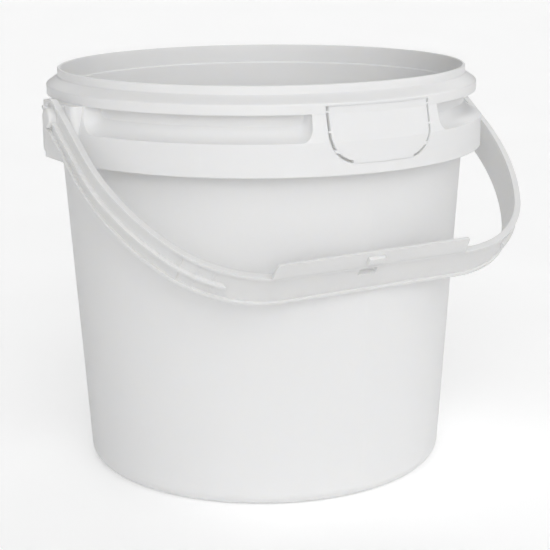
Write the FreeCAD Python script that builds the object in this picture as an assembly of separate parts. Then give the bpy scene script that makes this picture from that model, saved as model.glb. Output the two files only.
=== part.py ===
import FreeCAD, Part
import math
import os

# A ten litre plastic pail with a hollow collar, a tear-off tamper tab and a ribbed bail handle.
# Millimetres, +Z up. The origin is the centre of the foot. The tab faces -Y and the handle pivots lie on X.

# Tub
HEIGHT = 254.0
RIM_R = 128.0
WALL = 1.8
COLLAR_BASE_R = 126.9
BASE_R = 114.6
BASE_CORNER = 9.0
FOOT_RISE = 2.0
FOOT_IN_R = 99.0
BASE_THICK = 2.2
GATE_R = 5.0
GATE_DEPTH = 0.8
RIM_CHAMFER = 0.5
LID_STOP_DROP = 12.0
LID_STOP_STEP = 0.8

# Lid ring and collar, heights measured down from the rim
RING_R = 135.0
RING_TOP_DROP = 5.0
RING_EDGE_DROP = 9.8
RING_BOTTOM_DROP = 15.6
SKIRT_R = 138.3
SKIRT_TOP_DROP = 31.1
SKIRT_BOTTOM_DROP = 50.2
SHELL = 2.0
WEB_RISE = 11.5
WEB_MIDDLE = (7.2, 3.7)
WEB_NECK = 3.4
CREASE_DROP = 0.3
PAD_HALF_DEG = 18.4
PAD_END_DEG = 1.0
RING_END_DEG = 3.0
RECESS_END_R = 7.0
RECESS_EAR_R = 12.0
GUSSET = 1.6
GUSSET_RISE = 3.0
GUSSET_INSET = 0.4
GUSSET_STEP_DEG = 22.5
RING_EDGE_R = 1.0
SMALL_EDGE_R = 0.6

# Handle ears
EAR_FACE_X = 140.1
EAR_HALF_WIDTH = 23.0
EAR_WALL = 3.0
EAR_SIDE = 2.4
EAR_CORNER = 4.0
PIVOT_DROP = 24.0
EAR_HALF_DEG = 10.4
CORE_HOLE = (3.0, 4.6)
CORE_HOLE_Y = -11.4
CORE_HOLE_RISE = 5.2

# Tear-off tab
TAB_HALF_WIDTH = 34.8
TAB_CORNER = 17.3
TAB_TOP_DROP = 11.4
TAB_TOP_BEVEL = 2.8
TAB_BOTTOM_DROP = 43.8
SLIT = 1.6
HAIRLINE = 0.03
TAB_ROOT_HALF = 20.5
BRIDGES = ((14.6, 1.2), (25.5, 1.2), (36.6, 2.0))
TAB_RIB_X = 12.0
TAB_RIB = 1.4
TAB_RIB_RISE = 4.0
BACK_RIB = 1.8
BACK_RIB_R = 131.4

# Bail handle, at rest it hangs forward and leans on the tub
REST_DEG = 33.7
STRAP_S = 144.4
STRAP_WIDTH = 21.6
STRAP_DEPTH = 4.0
WEB = 2.4
LIP = 2.0
ARM_STRAIGHT = 47.0
ARM_R = 150.0
ARM_TURN_DEG = 31.0
CORNER_R = 72.0
SPINE = 2.0
SPINE_PROUD = 1.2
SPINE_END_S = 97.0
CROSS_RIB = 1.2
CROSS_RIB_DEGS = (38.0, 46.0, 54.0)
BOSS_R = 6.0
BOSS_PROUD = 3.0
BOSS_ROUND = 1.8
PIN_R = 4.8
PIN_CLEARANCE = 0.08
HEAD_R = 5.8
HEAD_LENGTH = 2.2
HEAD_TAPER = 1.6
PIN_SPLIT = 1.4
PIN_PLAY = 0.2

# Fold-over grip flap
FLAP_BASE = (-75.0, 57.6)
FLAP_END_LEAN = 0.8
FLAP_CORNER = 1.5
FLAP_REACH = 11.2
FLAP_THICK = 1.6
FLAP_GAP = 0.07
CATCH_HALF = 5.5
CATCH = 4.0
CATCH_ROOM = 0.5
CATCH_HEIGHT = 2.6
CATCH_INSET = 5.4

PIVOT_Z = HEIGHT - PIVOT_DROP
ROOT_R = COLLAR_BASE_R - WALL / 4
SKIRT_BOTTOM_Z = HEIGHT - SKIRT_BOTTOM_DROP
SKIRT_TOP_Z = HEIGHT - SKIRT_TOP_DROP
RING_BOTTOM_Z = HEIGHT - RING_BOTTOM_DROP
RING_EDGE_Z = HEIGHT - RING_EDGE_DROP
RING_TOP_Z = HEIGHT - RING_TOP_DROP
TAB_TOP_Z = HEIGHT - TAB_TOP_DROP
TAB_BOTTOM_Z = HEIGHT - TAB_BOTTOM_DROP
PAST = 1.0  # how far a cutting tool reaches past the face that it opens
BIG = 400.0
UP = FreeCAD.Vector(0, 0, 1)
CENTRE = FreeCAD.Vector(0, 0, 0)


def outline(points):
    """Closed face in the XZ plane. An entry is (x, z), or (middle, end) for an arc to end."""
    edges = []
    last = FreeCAD.Vector(points[0][0], 0, points[0][1])
    first = last
    for entry in points[1:]:
        if isinstance(entry[0], tuple):
            middle = FreeCAD.Vector(entry[0][0], 0, entry[0][1])
            end = FreeCAD.Vector(entry[1][0], 0, entry[1][1])
            edges.append(Part.Arc(last, middle, end).toShape())
        else:
            end = FreeCAD.Vector(entry[0], 0, entry[1])
            edges.append(Part.makeLine(last, end))
        last = end
    edges.append(Part.makeLine(last, first))
    return Part.Face(Part.Wire(edges))


def turned(points, start_deg=0.0, sweep_deg=360.0):
    """Solid turned about Z. The start angle is measured from the tab side (-Y) towards +X."""
    face = outline(points)
    face.rotate(CENTRE, UP, start_deg - 90.0)
    return face.revolve(CENTRE, UP, sweep_deg)


def box(x_range, y_range, z_range):
    size = [high - low for low, high in (x_range, y_range, z_range)]
    return Part.makeBox(*size, FreeCAD.Vector(x_range[0], y_range[0], z_range[0]))


def rod(x_range, y, z, radius):
    """Round bar along X."""
    start = FreeCAD.Vector(x_range[0], y, z)
    return Part.makeCylinder(radius, x_range[1] - x_range[0], start, FreeCAD.Vector(1, 0, 0))


def fused(shapes):
    return shapes[0].multiFuse(shapes[1:]).removeSplitter() if len(shapes) > 1 else shapes[0]


def mirrored_x(shape):
    return shape.mirror(CENTRE, FreeCAD.Vector(1, 0, 0))


def both_sides(shape):
    return [shape, mirrored_x(shape)]


def wall_outer_r(z):
    """Outer radius of the tapered tub below the collar."""
    share = (z - BASE_CORNER) / (SKIRT_BOTTOM_Z - BASE_CORNER)
    return BASE_R + (COLLAR_BASE_R - BASE_R) * share


def corner_middle(centre_x, centre_z, radius):
    """Middle point of a quarter arc in the lower right corner."""
    reach = radius / math.sqrt(2.0)
    return (centre_x + reach, centre_z - reach)


def tub():
    """Base, foot, tapered wall and rim in one turned profile."""
    floor_z = FOOT_RISE + BASE_THICK
    inner_corner = BASE_CORNER - WALL
    inner_low_r = wall_outer_r(floor_z + inner_corner) - WALL
    inner_top_r = RIM_R - WALL
    stop_z = HEIGHT - LID_STOP_DROP
    return turned([
        (0, FOOT_RISE + GATE_DEPTH),
        (GATE_R, FOOT_RISE + GATE_DEPTH),
        (GATE_R + GATE_DEPTH, FOOT_RISE),
        (FOOT_IN_R, FOOT_RISE),
        (FOOT_IN_R + FOOT_RISE, 0),
        (BASE_R - BASE_CORNER, 0),
        (corner_middle(BASE_R - BASE_CORNER, BASE_CORNER, BASE_CORNER), (BASE_R, BASE_CORNER)),
        (COLLAR_BASE_R, SKIRT_BOTTOM_Z),
        (RIM_R, RING_TOP_Z),
        (RIM_R, HEIGHT - RIM_CHAMFER),
        (RIM_R - RIM_CHAMFER, HEIGHT),
        (inner_top_r + RIM_CHAMFER, HEIGHT),
        (inner_top_r, HEIGHT - RIM_CHAMFER),
        (inner_top_r, stop_z),
        (inner_top_r - LID_STOP_STEP, stop_z - LID_STOP_STEP),
        (COLLAR_BASE_R - WALL, SKIRT_BOTTOM_Z),
        (inner_low_r, floor_z + inner_corner),
        (corner_middle(inner_low_r - inner_corner, floor_z + inner_corner, inner_corner),
         (inner_low_r - inner_corner, floor_z)),
        (0, floor_z),
    ])


def collar_outline():
    """Full-height section of ring, pad and skirt, reaching into the tub wall."""
    return [
        (ROOT_R, SKIRT_BOTTOM_Z),
        (SKIRT_R, SKIRT_BOTTOM_Z),
        (SKIRT_R, SKIRT_TOP_Z),
        (RING_R, RING_BOTTOM_Z),
        (RING_R, RING_EDGE_Z),
        (RIM_R, RING_TOP_Z),
        (ROOT_R, RING_TOP_Z),
    ]


def ring_hollow_points():
    """Underside of the ring's slope: its outer corner, then its end inside the tub wall."""
    slope = (RING_TOP_Z - RING_EDGE_Z) / (RING_R - RIM_R)
    drop = SHELL * math.hypot(1.0, slope)
    return [(radius, RING_TOP_Z - drop - (radius - RIM_R) * slope) for radius in (RING_R - SHELL, ROOT_R)]


def pad_hollow(start_deg, sweep_deg):
    """Space behind the pad face, open at the bottom."""
    lip, neck = ring_hollow_points()
    return turned([
        (ROOT_R, SKIRT_BOTTOM_Z - PAST),
        (SKIRT_R - SHELL, SKIRT_BOTTOM_Z - PAST),
        (SKIRT_R - SHELL, SKIRT_TOP_Z - CREASE_DROP),
        (RING_R - SHELL, RING_BOTTOM_Z - CREASE_DROP),
        lip,
        neck,
    ], start_deg, sweep_deg)


def skirt_hollow(start_deg, sweep_deg):
    """Space under the recess web, open at the bottom."""
    inner_r = SKIRT_R - SHELL
    return turned([
        (ROOT_R, SKIRT_BOTTOM_Z - PAST),
        (inner_r, SKIRT_BOTTOM_Z - PAST),
        (inner_r, SKIRT_TOP_Z - SHELL / 2),
        ((SKIRT_R - WEB_MIDDLE[0] - SHELL / 2, SKIRT_TOP_Z + WEB_MIDDLE[1] - SHELL),
         (ROOT_R, SKIRT_TOP_Z + WEB_RISE - WEB_NECK)),
    ], start_deg, sweep_deg)


def ring_hollow(start_deg, sweep_deg):
    """Groove up inside the lid ring."""
    lip, neck = ring_hollow_points()
    return turned([
        (ROOT_R, RING_BOTTOM_Z - PAST),
        (RING_R - SHELL, RING_BOTTOM_Z - PAST),
        lip,
        neck,
    ], start_deg, sweep_deg)


def recess(start_deg, end_deg, start_r, end_r):
    """Concave channel between ring and skirt, with rounded ends."""
    far_r = SKIRT_R + 3 * SHELL
    tool = turned([
        (ROOT_R, RING_BOTTOM_Z),
        (ROOT_R, SKIRT_TOP_Z + WEB_RISE),
        ((SKIRT_R - WEB_MIDDLE[0], SKIRT_TOP_Z + WEB_MIDDLE[1]), (SKIRT_R, SKIRT_TOP_Z)),
        (far_r, SKIRT_TOP_Z),
        (far_r, RING_BOTTOM_Z),
    ], start_deg, end_deg - start_deg)
    for angle, radius in ((start_deg, start_r), (end_deg, end_r)):
        tool = tool.makeFillet(radius, end_edges(tool, angle))
    return tool


def end_edges(tool, angle_deg):
    """Edges where the channel's end wall at this angle meets its neck and its web."""
    angle = math.radians(angle_deg)
    normal = FreeCAD.Vector(math.cos(angle), math.sin(angle), 0)
    chosen = []
    for edge in tool.Edges:
        points = edge.discretize(5)
        on_end = all(abs(point.dot(normal)) < 0.01 for point in points)
        middle = points[2]
        radius = math.hypot(middle.x, middle.y)
        inside = radius < SKIRT_R - 0.5 and middle.z < RING_BOTTOM_Z - 0.5
        if on_end and inside:
            chosen.append(edge)
    return chosen


def ear_blocks():
    """Flat-faced blocks that carry the handle pins."""
    block = box((COLLAR_BASE_R - WALL / 2, EAR_FACE_X), (-EAR_HALF_WIDTH, EAR_HALF_WIDTH),
                (SKIRT_BOTTOM_Z, RING_BOTTOM_Z))
    upright = [edge for edge in block.Edges
               if abs(edge.BoundBox.ZLength) > 5 and edge.BoundBox.XMin > EAR_FACE_X - 1]
    return both_sides(block.makeFillet(EAR_CORNER, upright))


def ear_hollows():
    """Pocket behind each ear face, its pin hole and a small core hole in front of it."""
    half = EAR_HALF_WIDTH - EAR_SIDE
    inner_x = EAR_FACE_X - EAR_WALL
    through = (inner_x - PAST, EAR_FACE_X + PAST)
    cuts = [
        box((COLLAR_BASE_R - WALL / 2, inner_x), (-half, half),
            (SKIRT_BOTTOM_Z - PAST, RING_BOTTOM_Z - EAR_SIDE)),
        rod(through, 0, PIVOT_Z, PIN_R + PIN_CLEARANCE),
    ]
    width, height = CORE_HOLE
    core_z = PIVOT_Z + CORE_HOLE_RISE
    core_y = (CORE_HOLE_Y - width / 2, CORE_HOLE_Y + width / 2)
    cuts.append(box(through, core_y, (core_z - height / 2, core_z + height / 2)))
    return [shape for cut in cuts for shape in both_sides(cut)]


def gusset_angles():
    """Every step round the collar that is clear of the pad and the ears."""
    count = round(360.0 / GUSSET_STEP_DEG)
    angles = []
    for number in range(count):
        angle = number * GUSSET_STEP_DEG
        from_pad = min(angle, 360.0 - angle)
        from_ear = abs(abs(angle - 180.0) - 90.0)
        if from_pad > PAD_HALF_DEG + 5 and from_ear > EAR_HALF_DEG + 5:
            angles.append(angle)
    return angles


def plate_at(angle_deg, radius_range, z_range, thickness):
    """Upright radial plate."""
    plate = box(radius_range, (-thickness / 2, thickness / 2), z_range)
    plate.rotate(CENTRE, UP, angle_deg - 90.0)
    return plate


def gussets():
    """Plates that tie the skirt to the wall, and small ribs under the lid ring."""
    skirt_space = skirt_hollow(0, 360)
    ring_space = ring_hollow(0, 360)
    low_z = (SKIRT_BOTTOM_Z + GUSSET_RISE, RING_BOTTOM_Z)
    high_z = (RING_BOTTOM_Z + GUSSET_INSET, RING_TOP_Z)
    shapes = []
    for angle in gusset_angles():
        low = plate_at(angle, (ROOT_R, SKIRT_R - SHELL / 2), low_z, GUSSET)
        high = plate_at(angle, (ROOT_R, RING_R - SHELL / 2), high_z, GUSSET)
        shapes.append(low.common(skirt_space))
        shapes.append(high.common(ring_space))
    return shapes


def back_rib():
    """Rib on the tub wall behind the tab."""
    rib = plate_at(0, (ROOT_R, BACK_RIB_R), (SKIRT_BOTTOM_Z + GUSSET_RISE, RING_TOP_Z), BACK_RIB)
    return rib.common(pad_hollow(-PAD_HALF_DEG, 2 * PAD_HALF_DEG))


def tab_outline(inset, top):
    """U shape of the tab seen from the front, its sides and bottom moved inwards by the inset."""
    half = TAB_HALF_WIDTH - inset
    radius = TAB_CORNER - inset
    bottom = TAB_BOTTOM_Z + inset
    centre_x = half - radius
    centre_z = bottom + radius
    right = corner_middle(centre_x, centre_z, radius)
    return [
        (-half, top),
        (-half, centre_z),
        ((-right[0], right[1]), (-centre_x, bottom)),
        (centre_x, bottom),
        (right, (half, centre_z)),
        (half, top),
    ]


def front_prism(points):
    """Front-view outline driven through the tab side of the collar."""
    prism = outline(points).extrude(FreeCAD.Vector(0, -BIG, 0))
    prism.translate(FreeCAD.Vector(0, -RIM_R / 2, 0))
    return prism


def outside_radius(shape, radius):
    """Part of a shape that lies beyond a radius from the bucket's axis."""
    return shape.cut(Part.makeCylinder(radius, HEIGHT * 2))


def tab_slits():
    """Slits round the tab, left uncut at the bridges and along the root."""
    ring = front_prism(tab_outline(0, TAB_TOP_Z)).cut(front_prism(tab_outline(SLIT, BIG)))
    keep = [box((-TAB_ROOT_HALF, TAB_ROOT_HALF), (-BIG, 0), (0, TAB_BOTTOM_Z + 3 * SLIT))]
    for drop, height in BRIDGES:
        z = HEIGHT - drop
        keep.append(box((-BIG, BIG), (-BIG, 0), (z - height / 2, z + height / 2)))
    return ring.cut(fused(keep))


def pad_shell():
    """Pad face with the ring slope above it, as a bare shell."""
    hollow = pad_hollow(-PAD_HALF_DEG - PAST, 2 * (PAD_HALF_DEG + PAST))
    return turned(collar_outline(), -PAD_HALF_DEG, 2 * PAD_HALF_DEG).cut(hollow)


def tab_top_bevel():
    """Wedge that slopes the tab's upper edge inwards, so that it swings out from under the ring."""
    top = TAB_TOP_Z - HAIRLINE
    return turned([
        (RING_R, top),
        (RING_R, top + PAST),
        (ROOT_R, top + PAST),
        (ROOT_R, top - TAB_TOP_BEVEL),
    ], -PAD_HALF_DEG - PAST, 2 * (PAD_HALF_DEG + PAST))


def tear_off_tab():
    """Tamper tab with its bridges and two stiffening ribs."""
    panel = outside_radius(pad_shell(), RIM_R + 2 * HAIRLINE)
    space = outside_radius(pad_hollow(-PAD_HALF_DEG, 2 * PAD_HALF_DEG), RIM_R + 1.0)
    ribs = []
    for side in (-1, 1):
        x = side * TAB_RIB_X
        rib = box((x - TAB_RIB / 2, x + TAB_RIB / 2), (-BIG, 0), (TAB_BOTTOM_Z + TAB_RIB_RISE, RING_TOP_Z))
        ribs.append(rib.common(space))
    whole = fused([panel] + ribs)
    whole = whole.common(front_prism(tab_outline(HAIRLINE, TAB_TOP_Z - HAIRLINE)))
    return whole.cut([tab_slits(), tab_top_bevel()])


def bucket_body():
    """Tub with its collar, ears and the opening left for the tab."""
    pad = PAD_HALF_DEG
    ear = EAR_HALF_DEG
    collar = turned(collar_outline(), 180).multiFuse(ear_blocks())
    front_span = 90 - ear - pad
    back_span = 180 - 2 * ear
    cuts = both_sides(recess(pad, 90 - ear, RECESS_END_R, RECESS_EAR_R))
    cuts.append(recess(90 + ear, 270 - ear, RECESS_EAR_R, RECESS_EAR_R))
    cuts += both_sides(skirt_hollow(pad + PAD_END_DEG, front_span - PAD_END_DEG))
    cuts.append(skirt_hollow(90 + ear, back_span))
    cuts += both_sides(ring_hollow(pad + RING_END_DEG, front_span - 2 * RING_END_DEG))
    cuts.append(ring_hollow(90 + ear + RING_END_DEG, back_span - 2 * RING_END_DEG))
    cuts.append(pad_hollow(PAD_END_DEG - pad, 2 * (pad - PAD_END_DEG)))
    cuts.append(outside_radius(front_prism(tab_outline(0, TAB_TOP_Z)), ROOT_R))
    collar = collar.cut(cuts + ear_hollows())
    return softened(fused([tub(), collar, back_rib()] + gussets()))


def softened(body):
    """Rounds the ring's edge, the step at the rim's root and the skirt's lower edge."""
    rounds = (
        (RING_R, RING_EDGE_Z, RING_EDGE_R),
        (RIM_R, RING_TOP_Z, SMALL_EDGE_R),
        (SKIRT_R, SKIRT_BOTTOM_Z, SMALL_EDGE_R),
    )
    for radius, z, rounding in rounds:
        body = body.makeFillet(rounding, circle_edges(body, radius, z))
    return body


def circle_edges(shape, radius, z):
    """Edges that lie on a circle round the bucket's axis."""
    chosen = []
    for edge in shape.Edges:
        points = edge.discretize(7)
        on_radius = all(abs(math.hypot(point.x, point.y) - radius) < 0.02 for point in points)
        on_level = all(abs(point.z - z) < 0.02 for point in points)
        if on_radius and on_level:
            chosen.append(edge)
    return chosen


def strap_path(offset):
    """Edges of half the handle outline, from the arm's end to the middle of the grip.

    Handle plane: x is sideways and -y runs from the pivot towards the grip. The offset is inward.
    """
    turn = math.radians(ARM_TURN_DEG)
    arm_centre = (STRAP_S - ARM_R, ARM_STRAIGHT)
    shift = ARM_R - CORNER_R
    corner_centre = (arm_centre[0] + shift * math.cos(turn), arm_centre[1] + shift * math.sin(turn))

    def on_arc(centre, radius, angle):
        reach = radius - offset
        return FreeCAD.Vector(centre[0] + reach * math.cos(angle), -centre[1] - reach * math.sin(angle), 0)

    start = FreeCAD.Vector(STRAP_S - offset, STRAP_WIDTH / 2, 0)
    arm_start = on_arc(arm_centre, ARM_R, 0)
    arm_middle = on_arc(arm_centre, ARM_R, turn / 2)
    arm_end = on_arc(arm_centre, ARM_R, turn)
    corner_middle_point = on_arc(corner_centre, CORNER_R, (turn + math.pi / 2) / 2)
    corner_end = on_arc(corner_centre, CORNER_R, math.pi / 2)
    middle = FreeCAD.Vector(0, corner_end.y, 0)
    edges = [
        Part.makeLine(start, arm_start),
        Part.Arc(arm_start, arm_middle, arm_end).toShape(),
        Part.Arc(arm_end, corner_middle_point, corner_end).toShape(),
        Part.makeLine(corner_end, middle),
    ]
    return edges, start, middle


def strap_band(offset_out, offset_in, n_range):
    """Half of a band that follows the handle outline between two offsets."""
    outer, outer_start, outer_end = strap_path(offset_out)
    inner, inner_start, inner_end = strap_path(offset_in)
    ends = [Part.makeLine(outer_end, inner_end), Part.makeLine(inner_start, outer_start)]
    face = Part.Face(Part.Wire(Part.__sortEdges__(outer + inner + ends)))
    face.translate(FreeCAD.Vector(0, 0, n_range[0]))
    return face.extrude(FreeCAD.Vector(0, 0, n_range[1] - n_range[0]))


def grip_offset():
    """Distance from the pivot line to the outer face of the grip."""
    return -strap_path(0)[2].y


def end_mask():
    """Keeps the arm and rounds its end about the pivot."""
    half = STRAP_WIDTH / 2
    around = rod((0, BIG), 0, 0, half)
    return around.fuse(box((-PAST, BIG), (-BIG, 0), (-half, half)))


def spine():
    """Central rib of the arm, stopping before the grip."""
    rib = strap_band(-SPINE_PROUD, STRAP_DEPTH - WEB / 2, (-SPINE / 2, SPINE / 2))
    reach = grip_offset()
    stop = box((-PAST, SPINE_END_S), (-reach - STRAP_DEPTH, -reach / 2), (-SPINE, SPINE))
    return rib.cut(stop)


def cross_ribs():
    """Short ribs across the channel where the spine fades out."""
    turn = math.radians(ARM_TURN_DEG)
    shift = ARM_R - CORNER_R
    centre_x = STRAP_S - ARM_R + shift * math.cos(turn)
    centre = FreeCAD.Vector(centre_x, -ARM_STRAIGHT - shift * math.sin(turn), 0)
    half = STRAP_WIDTH / 2 - LIP / 2
    ribs = []
    for angle in CROSS_RIB_DEGS:
        rib = box((CORNER_R - STRAP_DEPTH + WEB / 2, CORNER_R - LIP / 2),
                  (-CROSS_RIB / 2, CROSS_RIB / 2), (-half, half))
        rib.rotate(CENTRE, UP, -angle)
        rib.translate(centre)
        ribs.append(rib)
    return ribs


def end_lip():
    """Lip that runs round the arm's end."""
    half = STRAP_WIDTH / 2
    span = (STRAP_S - STRAP_DEPTH, STRAP_S)
    ring = rod(span, 0, 0, half).cut(rod(span, 0, 0, half - LIP))
    return ring.common(box(span, (0, BIG), (-half, half)))


def pivot_pin():
    """Boss outside the arm, pin through the ear and snap head behind it."""
    face = STRAP_S - STRAP_DEPTH
    head_x = EAR_FACE_X - EAR_WALL - PIN_PLAY
    boss = rod((face, STRAP_S + BOSS_PROUD), 0, 0, BOSS_R)
    rim = [edge for edge in boss.Edges if edge.BoundBox.XMin > STRAP_S + BOSS_PROUD / 2]
    boss = boss.makeFillet(BOSS_ROUND, rim)
    pin = rod((head_x - HEAD_LENGTH, face + PAST), 0, 0, PIN_R)
    tip = FreeCAD.Vector(head_x - HEAD_LENGTH, 0, 0)
    head = Part.makeCone(HEAD_R - HEAD_TAPER, HEAD_R, HEAD_LENGTH, tip, FreeCAD.Vector(1, 0, 0))
    split = box((tip.x - PAST, head_x + EAR_WALL / 2), (-BIG, BIG), (-PIN_SPLIT / 2, PIN_SPLIT / 2))
    return [boss, pin.cut(split), head.cut(split)]


def hang(shape):
    """From the handle plane to the rest pose, hanging forward and down."""
    shape.rotate(CENTRE, FreeCAD.Vector(1, 0, 0), REST_DEG)
    shape.translate(FreeCAD.Vector(0, 0, PIVOT_Z))
    return shape


def catch_span(room):
    """Ends of the catch along the grip, at the flap's middle, with room beyond each."""
    middle = sum(FLAP_BASE) / 2
    return (middle - CATCH_HALF - room, middle + CATCH_HALF + room)


def catch_slot():
    """Slot in the grip's web that takes the flap's catch."""
    reach = grip_offset()
    across = STRAP_WIDTH / 2 - (FLAP_REACH - CATCH_INSET)
    room = CATCH / 2 + CATCH_ROOM
    return box(catch_span(CATCH_ROOM), (-reach, -reach + STRAP_DEPTH + PAST), (across - room, across + room))


def bail_handle():
    """Channel-section strap with two rounded ends, a spine on each arm and two pins."""
    half = STRAP_WIDTH / 2
    web = strap_band(STRAP_DEPTH - WEB, STRAP_DEPTH, (-half, half))
    upper_lip = strap_band(0, STRAP_DEPTH, (half - LIP, half))
    lower_lip = strap_band(0, STRAP_DEPTH, (-half, LIP - half))
    strap = fused([web, upper_lip, lower_lip, spine()]).common(end_mask())
    side = fused([strap, end_lip()] + cross_ribs() + pivot_pin())
    whole = fused(both_sides(side)).cut(catch_slot())
    return hang(whole)


def grip_flap():
    """Flap that lies along the grip's upper edge, with bevelled ends and a catch."""
    reach = grip_offset()
    low = STRAP_WIDTH / 2 + FLAP_GAP
    high = STRAP_WIDTH / 2 + FLAP_REACH
    left, right = FLAP_BASE
    plate = outline([(left, low), (right, low), (right - FLAP_END_LEAN, high), (left + FLAP_END_LEAN, high)])
    plate = plate.extrude(FreeCAD.Vector(0, FLAP_THICK, 0))
    plate.translate(FreeCAD.Vector(0, -reach, 0))
    corners = [edge for edge in plate.Edges
               if edge.BoundBox.XLength < HAIRLINE and edge.BoundBox.ZMin > high - FLAP_REACH / 2]
    plate = plate.makeFillet(FLAP_CORNER, corners)
    catch_z = high - CATCH_INSET
    catch = box(catch_span(0), (-reach - CATCH_HEIGHT, -reach + FLAP_THICK / 2),
                (catch_z - CATCH / 2, catch_z + CATCH / 2))
    return hang(fused([plate, catch]))


SUB_PARTS = {
    "bucket_body": bucket_body,
    "tear_off_tab": tear_off_tab,
    "bail_handle": bail_handle,
    "grip_flap": grip_flap,
}

for node, build in SUB_PARTS.items():
    shape = build()
    shape.exportStep(os.path.join("parts", node + ".step"))
    print(node, shape.ShapeType, len(shape.Solids), shape.isValid(), round(shape.Volume / 1000.0, 2), "cm3")
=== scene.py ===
"""Looks of the plastic fermenting bucket: moulded plastic, a pale floor, soft studio light and the camera."""

import math

import bmesh
import bpy
from mathutils import Matrix, Vector

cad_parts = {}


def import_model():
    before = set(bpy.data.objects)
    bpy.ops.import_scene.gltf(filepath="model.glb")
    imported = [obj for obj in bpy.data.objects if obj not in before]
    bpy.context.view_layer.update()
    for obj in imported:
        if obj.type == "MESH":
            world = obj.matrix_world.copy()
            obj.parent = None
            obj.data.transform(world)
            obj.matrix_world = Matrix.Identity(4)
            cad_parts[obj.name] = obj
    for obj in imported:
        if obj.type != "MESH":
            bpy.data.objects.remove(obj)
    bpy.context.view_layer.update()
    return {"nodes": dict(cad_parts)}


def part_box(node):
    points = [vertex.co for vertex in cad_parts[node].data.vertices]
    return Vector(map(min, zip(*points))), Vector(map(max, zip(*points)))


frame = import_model()

# Sizes taken from the frame, in metres
tub_low, tub_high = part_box("bucket_body")
HEIGHT = tub_high.z - tub_low.z
MM = 0.001

# Camera: a long lens, a little above the rim, turned to the left of the tab
VIEW_TURN = math.radians(-30.2)
VIEW_DISTANCE = 3.82 * HEIGHT
VIEW_HEIGHT = 1.385 * HEIGHT
VIEW_AIM = 0.455 * HEIGHT
VIEW_SIDE = 0.03 * HEIGHT
VIEW_ROLL = math.radians(-0.46)
VIEW_REACH = 400 * HEIGHT
LENS_MM = 100.0
SENSOR_MM = 36.0

# Collar details that the finish follows
SKIRT_R = tub_high.y
GUSSET_STEP = math.radians(22.5)

# Plastic: linear colours, roughness and how it varies, and how much darker the cloudy patches are
TUB_WHITE = (0.830, 0.831, 0.832)
TUB_ROUGHNESS = 0.34
HANDLE_WHITE = (0.795, 0.795, 0.794)
HANDLE_ROUGHNESS = 0.33
ROUGHNESS_SWING = 0.03
RUB_ROUGHNESS = 0.07
CLOUD_SHADE = 0.975
PLASTIC_IOR = 1.49

# How many times each unevenness repeats in a metre (the streaks: in a radian and a metre)
WAVE_SCALE = 16.0
GRAIN_SCALE = 1100.0
CLOUD_SCALE = 11.0
RUB_SCALE = (45.0, 45.0, 160.0)
STREAK_SCALE = (22.0, 3.0, 1.0)

# Relief of the surface
EDGE_ROUND = 0.45 * MM
WAVE_HEIGHT = 0.10 * MM
STREAK_HEIGHT = 0.03 * MM
GRAIN_HEIGHT = 0.006 * MM
SINK_DEPTH = 0.06 * MM
SINK_WIDTH = 2.2 * MM

# Light that spreads under the surface: depth, share, and how far red, green and blue go
GLOW_DEPTH = 2.5 * MM
GLOW_SHARE = 0.5
GLOW_SPREAD = (1.0, 0.95, 0.85)

# Painted glow in narrow gaps, standing in for the light that thin walls pass on into them: how far a gap
# reaches, how open it may be, and how strong
GAP_REACH = 20.0 * MM
GAP_OPEN = 0.40
GAP_PAINTED_GLOW = 0.12

# Floor, which shines a little to the camera only
FLOOR_RADIUS = 60 * HEIGHT
FLOOR_SHADES = (0.90, 0.93)
FLOOR_MOTTLE_SCALE = 5.0
FLOOR_ROUGHNESS = 0.85
FLOOR_GLOW = 0.27

# Soft studio light: even surround, backdrop as the camera sees it, and far soft boxes
SURROUND = 0.125
BACKDROP = 0.93
# Name, turn and rise in degrees, strength, spread in degrees
SOFT_BOXES = (
    ("front_low", -28, 8, 1.20, 50),
    ("front_high", -28, 45, 1.03, 50),
    ("left", -95, 20, 0.38, 60),
    ("right", 25, 20, 0.35, 50),
    ("far_right", 75, 20, 0.76, 60),
    ("back", 150, 35, 0.86, 60),
)


class Nodes:
    """Small helper that adds and links shader nodes."""

    def __init__(self, name):
        self.material = bpy.data.materials.new(name)
        self.material.use_nodes = True
        self.tree = self.material.node_tree
        self.tree.nodes.clear()

    def add(self, kind, inputs=None, **settings):
        node = self.tree.nodes.new(kind)
        for key, value in settings.items():
            setattr(node, key, value)
        for key, value in (inputs or {}).items():
            if isinstance(value, bpy.types.NodeSocket):
                self.tree.links.new(value, node.inputs[key])
            else:
                node.inputs[key].default_value = value
        return node

    def math(self, operation, a, b=0.0):
        return self.add("ShaderNodeMath", {0: a, 1: b}, operation=operation).outputs[0]

    def ramp(self, value, low, high, to_low=0.0, to_high=1.0, smooth=False):
        """Maps a value from one range to another, held at both ends."""
        settings = {"Value": value, "From Min": low, "From Max": high, "To Min": to_low, "To Max": to_high}
        curve = "SMOOTHSTEP" if smooth else "LINEAR"
        return self.add("ShaderNodeMapRange", settings, interpolation_type=curve).outputs["Result"]

    def noise(self, vector, scale, detail=2.0, roughness=0.5):
        settings = {"Vector": vector, "Scale": scale, "Detail": detail, "Roughness": roughness}
        return self.add("ShaderNodeTexNoise", settings).outputs["Fac"]

    def stretch(self, vector, scale):
        return self.add("ShaderNodeMapping", {"Vector": vector, "Scale": scale}).outputs[0]

    def bump(self, height, distance, normal):
        settings = {"Height": height, "Distance": distance, "Strength": 1.0, "Normal": normal}
        return self.add("ShaderNodeBump", settings).outputs["Normal"]


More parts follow.
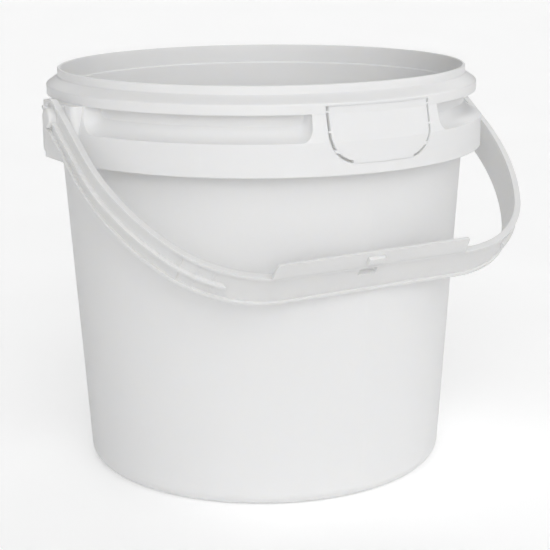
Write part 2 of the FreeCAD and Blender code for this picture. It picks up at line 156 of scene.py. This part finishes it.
def round_the_tub(n, place):
    """Turn about the bucket's axis from the tab, in radians, then distance from that axis, then height."""
    split = n.add("ShaderNodeSeparateXYZ", {0: place}).outputs
    turn = n.math("ARCTAN2", split["X"], n.math("MULTIPLY", split["Y"], -1.0))
    squares = n.math("ADD", n.math("POWER", split["X"], 2.0), n.math("POWER", split["Y"], 2.0))
    return turn, n.math("SQRT", squares), split["Z"]


def flow_streaks(n, turn, height):
    """Soft upright streaks, where the melt ran up the wall from the gate in the base."""
    place = n.add("ShaderNodeCombineXYZ", {"X": turn, "Y": height}).outputs[0]
    return n.noise(n.stretch(place, STREAK_SCALE), 1.0, 3.0)


def sink_marks(n, turn, radius):
    """Shallow upright dips on the collar's skirt, in front of each gusset behind it."""
    steps = n.math("DIVIDE", turn, GUSSET_STEP)
    beside = n.math("ABSOLUTE", n.math("SUBTRACT", steps, n.math("ROUND", steps)))
    dip = n.ramp(beside, 0.0, SINK_WIDTH / (GUSSET_STEP * SKIRT_R), 1.0, 0.0, smooth=True)
    on_skirt = n.ramp(radius, SKIRT_R - 0.6 * MM, SKIRT_R - 0.3 * MM)
    from_tab = n.ramp(n.math("ABSOLUTE", turn), GUSSET_STEP, 1.2 * GUSSET_STEP)
    return n.math("MULTIPLY", n.math("MULTIPLY", dip, on_skirt), from_tab)


def relief(n, place, waves, tub):
    """Normal of the moulded surface: soft edges, waves and grain, with streaks and sink marks on the tub."""
    normal = n.add("ShaderNodeBevel", {"Radius": EDGE_ROUND}, samples=6).outputs[0]
    normal = n.bump(waves, WAVE_HEIGHT, normal)
    normal = n.bump(n.noise(place, GRAIN_SCALE, 2.0, 0.6), GRAIN_HEIGHT, normal)
    if tub:
        turn, radius, height = round_the_tub(n, place)
        normal = n.bump(flow_streaks(n, turn, height), STREAK_HEIGHT, normal)
        normal = n.bump(sink_marks(n, turn, radius), -SINK_DEPTH, normal)
    return normal


def cloudy(n, place, colour):
    """The colour with large, faint and slightly darker patches."""
    share = n.ramp(n.noise(place, CLOUD_SCALE, 4.0), 0.1, 0.9)
    tint = n.add("ShaderNodeMix", {"Factor": share}, data_type="RGBA")
    tint.inputs["A"].default_value = (*[part * CLOUD_SHADE for part in colour], 1.0)
    tint.inputs["B"].default_value = (*colour, 1.0)
    return tint.outputs["Result"]


def handled(n, place, waves, roughness):
    """Roughness that swings with the waves and rises where handling has rubbed the surface."""
    swing = n.ramp(waves, 0.3, 0.7, roughness - ROUGHNESS_SWING, roughness + ROUGHNESS_SWING)
    rubs = n.noise(n.stretch(place, RUB_SCALE), 1.0, 4.0)
    return n.math("ADD", swing, n.ramp(rubs, 0.5, 0.8, 0.0, RUB_ROUGHNESS))


def plastic(name, colour, roughness, tub):
    """Moulded polypropylene: slightly translucent and semi-gloss, with a painted glow in narrow gaps."""
    n = Nodes(name)
    place = n.add("ShaderNodeTexCoord").outputs["Object"]
    waves = n.noise(place, WAVE_SCALE, 2.0)
    tint = cloudy(n, place, colour)
    # Painted glow: the plastic's own colour is emitted where ambient occlusion finds the surface hemmed in,
    # so narrow gaps are lit
    openness = n.add("ShaderNodeAmbientOcclusion", {"Distance": GAP_REACH}, samples=6).outputs["AO"]
    surface = n.add("ShaderNodeBsdfPrincipled", {
        "Base Color": tint,
        "Roughness": handled(n, place, waves, roughness),
        "Emission Color": tint,
        "Emission Strength": n.ramp(openness, 0.0, GAP_OPEN, GAP_PAINTED_GLOW, 0.0),
        "IOR": PLASTIC_IOR,
        "Subsurface Weight": GLOW_SHARE,
        "Subsurface Radius": GLOW_SPREAD,
        "Subsurface Scale": GLOW_DEPTH,
        "Normal": relief(n, place, waves, tub),
    })
    n.add("ShaderNodeOutputMaterial", {"Surface": surface.outputs[0]})
    return n.material


def dress(node, material):
    """Gives a CAD node its finish."""
    obj = frame["nodes"][node]
    obj.data.materials.clear()
    obj.data.materials.append(material)


def floor_material():
    """Pale, slightly mottled matt studio floor."""
    n = Nodes("studio_floor")
    place = n.add("ShaderNodeTexCoord").outputs["Object"]
    mottle = n.ramp(n.noise(place, FLOOR_MOTTLE_SCALE, 4.0), 0.3, 0.7, *FLOOR_SHADES)
    grey = n.add("ShaderNodeCombineColor", {"Red": mottle, "Green": mottle, "Blue": mottle}).outputs[0]
    seen = n.add("ShaderNodeLightPath").outputs["Is Camera Ray"]
    surface = n.add("ShaderNodeBsdfPrincipled", {
        "Base Color": grey,
        "Roughness": FLOOR_ROUGHNESS,
        "Emission Color": grey,
        "Emission Strength": n.math("MULTIPLY", seen, FLOOR_GLOW),
    })
    n.add("ShaderNodeOutputMaterial", {"Surface": surface.outputs[0]})
    return n.material


def floor():
    """Round floor under the bucket, reaching past the edge of the view."""
    mesh = bpy.data.meshes.new("studio_floor")
    shape = bmesh.new()
    bmesh.ops.create_circle(shape, cap_ends=True, segments=96, radius=FLOOR_RADIUS)
    shape.to_mesh(mesh)
    shape.free()
    mesh.materials.append(floor_material())
    obj = bpy.data.objects.new("studio_floor", mesh)
    obj.location.z = tub_low.z
    bpy.context.scene.collection.objects.link(obj)


def direction(turn_deg, rise_deg):
    """Unit vector away from the bucket. The turn is measured like the camera's."""
    turn, rise = math.radians(turn_deg), math.radians(rise_deg)
    return Vector((math.sin(turn) * math.cos(rise), -math.cos(turn) * math.cos(rise), math.sin(rise)))


def sun_light(name, turn_deg, rise_deg, strength, spread_deg):
    """Broad distant soft box that lights bucket and floor alike."""
    light = bpy.data.lights.new(name, "SUN")
    light.energy = strength
    light.angle = math.radians(spread_deg)
    obj = bpy.data.objects.new(name, light)
    obj.rotation_euler = direction(turn_deg, rise_deg).to_track_quat("Z", "Y").to_euler()
    bpy.context.scene.collection.objects.link(obj)


def world():
    """Even white surround, which the camera sees as a pale backdrop."""
    surround = bpy.data.worlds.new("surround")
    surround.use_nodes = True
    tree = surround.node_tree
    path = tree.nodes.new("ShaderNodeLightPath")
    strength = tree.nodes.new("ShaderNodeMapRange")
    strength.inputs["To Min"].default_value = SURROUND
    strength.inputs["To Max"].default_value = BACKDROP
    tree.links.new(path.outputs["Is Camera Ray"], strength.inputs["Value"])
    background = tree.nodes["Background"]
    background.inputs["Color"].default_value = (1.0, 1.0, 1.0, 1.0)
    tree.links.new(strength.outputs["Result"], background.inputs["Strength"])
    bpy.context.scene.world = surround


def camera():
    """Long lens at the height and turn of the reference view."""
    data = bpy.data.cameras.new("camera")
    data.lens = LENS_MM
    data.sensor_width = SENSOR_MM
    data.clip_end = VIEW_REACH
    obj = bpy.data.objects.new("camera", data)
    place = Vector((math.sin(VIEW_TURN) * VIEW_DISTANCE, -math.cos(VIEW_TURN) * VIEW_DISTANCE, VIEW_HEIGHT))
    aim = Vector((math.cos(VIEW_TURN) * VIEW_SIDE, math.sin(VIEW_TURN) * VIEW_SIDE, VIEW_AIM))
    obj.location = place
    turned = (place - aim).to_track_quat("Z", "Y").to_matrix()
    obj.rotation_euler = (turned @ Matrix.Rotation(VIEW_ROLL, 3, "Z")).to_euler()
    bpy.context.scene.collection.objects.link(obj)
    bpy.context.scene.camera = obj


tub_plastic = plastic("white_tub_plastic", TUB_WHITE, TUB_ROUGHNESS, True)
handle_plastic = plastic("white_handle_plastic", HANDLE_WHITE, HANDLE_ROUGHNESS, False)
dress("bucket_body", tub_plastic)
dress("tear_off_tab", tub_plastic)
dress("bail_handle", handle_plastic)
dress("grip_flap", handle_plastic)

floor()
world()
for name, turn, rise, strength, spread in SOFT_BOXES:
    sun_light(name, turn, rise, strength, spread)
camera()
bpy.context.scene.view_settings.view_transform = "Standard"
